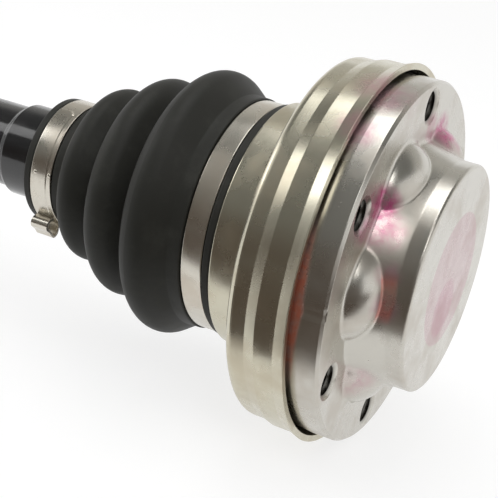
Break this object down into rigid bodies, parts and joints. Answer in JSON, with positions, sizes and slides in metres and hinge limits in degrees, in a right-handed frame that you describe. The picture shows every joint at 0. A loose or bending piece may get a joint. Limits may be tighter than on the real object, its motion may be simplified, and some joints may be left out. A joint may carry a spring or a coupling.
{
  "type": "constant velocity drive shaft",
  "caption": "Rear half shaft: a flanged plunging ball joint with a pressed boot can, a painted bar, and a fixed ball joint with a splined, threaded stub axle.",
  "frame": {"origin": "centre of the inboard flange face, on the shaft axis", "axes": "+X along the shaft axis out of the flange boss, the bar running towards -X; +Y is the axis about which the modelled bends turn; +Z passes through a bolt hole"},
  "size_m": [0.6155, 0.1144, 0.1144],
  "materials": {
    "forged_housing": "forged and part machined, oiled satin steel",
    "boot_can": "pressed sheet with a warm plated satin surface",
    "bell_steel": "turned and forged, oiled satin steel",
    "clamp_steel": "smooth stainless band, satin",
    "black_paint": "gloss black paint",
    "boot_rubber": "matt black moulded rubber",
    "seal_rubber": "black rubber",
    "race_steel": "ground steel, greased",
    "cage_steel": "hardened steel, dark satin",
    "ball_steel": "polished bearing steel",
    "ring_steel": "phosphated spring steel"
  },
  "bodies": {
    "housing": {"flange_housing": "forged_housing", "boot_can": "boot_can", "can_seal": "seal_rubber", "inboard_boot": "boot_rubber", "inboard_large_clamp": "clamp_steel"},
    "plunge": {"inboard_ball_1": "ball_steel", "inboard_ball_4": "ball_steel"},
    "shaft": {"shaft_bar": "black_paint", "inboard_inner_race": "race_steel", "inboard_retaining_ring": "ring_steel", "inboard_small_clamp": "clamp_steel", "outboard_small_clamp": "clamp_steel", "outboard_inner_race": "race_steel", "outboard_retaining_ring": "ring_steel"},
    "inboard_cage_set": {"inboard_cage": "cage_steel", "inboard_ball_2": "ball_steel", "inboard_ball_3": "ball_steel", "inboard_ball_5": "ball_steel", "inboard_ball_6": "ball_steel"},
    "bell": {"outboard_bell": "bell_steel", "outboard_large_clamp": "clamp_steel", "outboard_boot": "boot_rubber"},
    "outboard_cage_set": {"outboard_cage": "cage_steel", "outboard_ball_1": "ball_steel", "outboard_ball_2": "ball_steel", "outboard_ball_3": "ball_steel", "outboard_ball_4": "ball_steel", "outboard_ball_5": "ball_steel", "outboard_ball_6": "ball_steel"}
  },
  "joints": [
    {"name": "inboard_plunge", "type": "slide", "parent": "housing", "child": "plunge", "axis": [1, 0, 0], "range_m": [-0.005, 0.005], "stiffness_N_per_m": 3000, "deforming": ["inboard_boot"]},
    {"name": "inboard_bend", "type": "hinge", "parent": "plunge", "child": "shaft", "pos_m": [-0.014, 0, 0], "axis": [0, 1, 0], "range_deg": [-18, 18], "stiffness_Nm_per_rad": 4, "deforming": ["inboard_boot"]},
    {"name": "inboard_cage_turn", "type": "hinge", "parent": "plunge", "child": "inboard_cage_set", "pos_m": [-0.014, 0, 0], "axis": [0, 1, 0], "range_deg": [-9, 9]},
    {"name": "outboard_bend", "type": "hinge", "parent": "shaft", "child": "bell", "pos_m": [-0.47, 0, 0], "axis": [0, 1, 0], "range_deg": [-30, 30], "stiffness_Nm_per_rad": 4, "deforming": ["outboard_boot"]},
    {"name": "outboard_cage_turn", "type": "hinge", "parent": "shaft", "child": "outboard_cage_set", "pos_m": [-0.47, 0, 0], "axis": [0, 1, 0], "range_deg": [-15, 15]}
  ],
  "couplings": [
    {"joint": "inboard_cage_turn", "follows": "inboard_bend", "ratio": 0.5},
    {"joint": "outboard_cage_turn", "follows": "outboard_bend", "ratio": 0.5}
  ]
}
